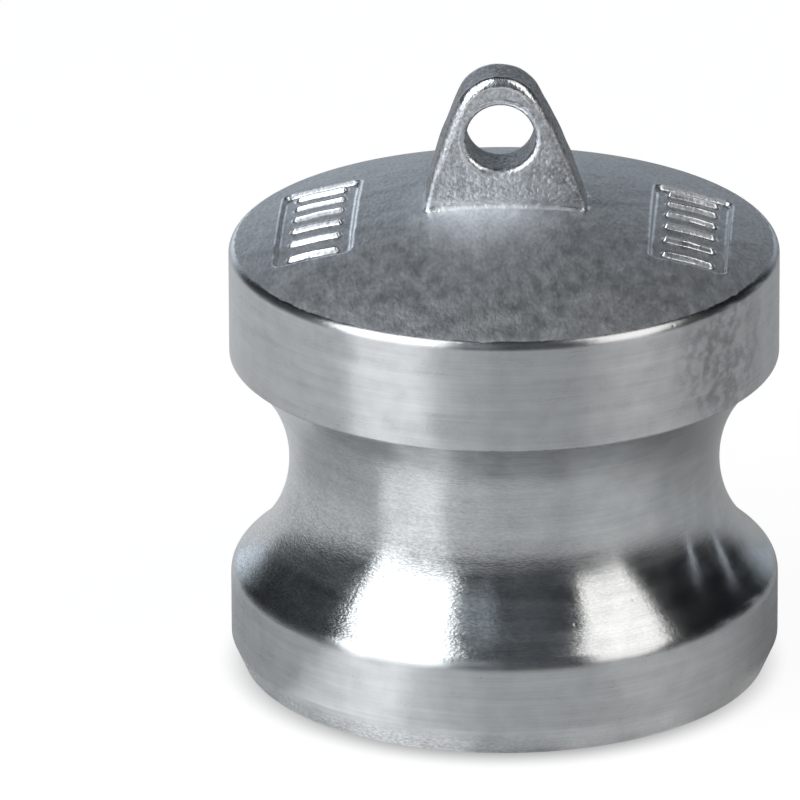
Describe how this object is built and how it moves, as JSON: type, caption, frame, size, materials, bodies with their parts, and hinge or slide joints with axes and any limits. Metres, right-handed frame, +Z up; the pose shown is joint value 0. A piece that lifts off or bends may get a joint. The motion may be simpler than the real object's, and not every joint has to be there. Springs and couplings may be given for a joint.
{
  "type": "cam and groove dust plug",
  "caption": "Cast stainless steel dust plug for a cam and groove hose coupling, with a turned cam groove, a domed crown and a lug with a hole for a keeper chain.",
  "frame": {"origin": "centre of the foot's flat ring", "axes": "+Z up the turning axis from the foot to the lug, X along the lug's broad faces, -Y out of the lug's front face"},
  "size_m": [0.0534, 0.0534, 0.0607],
  "materials": {
    "stainless_steel": "satin turned bands, bright turned groove, crown and lug left as cast"
  },
  "bodies": {
    "root": {"dust_plug": "stainless_steel"}
  },
  "joints": []
}
